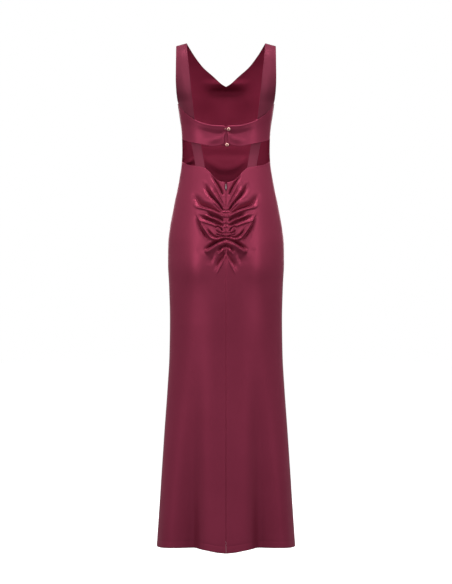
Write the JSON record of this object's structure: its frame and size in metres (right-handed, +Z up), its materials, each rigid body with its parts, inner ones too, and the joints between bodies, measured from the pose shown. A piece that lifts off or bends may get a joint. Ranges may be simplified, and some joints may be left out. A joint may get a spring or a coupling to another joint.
{
  "type": "maxi dress",
  "caption": "Long sleeveless satin dress with a V neck, wide shoulder straps, an open buttoned back with cut-outs at back and sides, and a flared skirt gathered on its back seam.",
  "frame": {"origin": "midway between the tops of the shoulder straps, at the level of their inner corners, where a wearer's shoulders hold the dress up", "axes": "+Z up along the dress, from the hem to the shoulders; -Y out of the dress's front and +Y out of its back; +X to the wearer's left"},
  "size_m": [0.402, 0.309, 1.4636],
  "materials": {
    "satin": "wine satin, soft sheen outside, duller inside",
    "zip_tape": "matt woven tape",
    "gold": "polished, pale gold",
    "zip_metal": "pale, lightly polished"
  },
  "bodies": {
    "dress": {"front": "satin", "skirt_back_left": "satin", "skirt_back_right": "satin", "back_band_left": "satin", "back_band_right": "satin", "shoulder_strap_left": "satin", "shoulder_strap_right": "satin", "lower_strap_left": "satin", "lower_strap_right": "satin", "button_stand": "satin", "loop_upper": "satin", "loop_lower": "satin", "loop_bead": "gold", "zip_tape": "zip_tape", "button_upper": "gold", "button_lower": "gold", "zip_slider": "zip_metal"},
    "zip_pull": {"zip_pull": "zip_metal"}
  },
  "joints": [
    {"name": "pull_swing", "type": "hinge", "parent": "dress", "child": "zip_pull", "pos_m": [0, 0.10707, -0.41536], "axis": [1, 0, 0], "range_deg": [0, 140]}
  ]
}
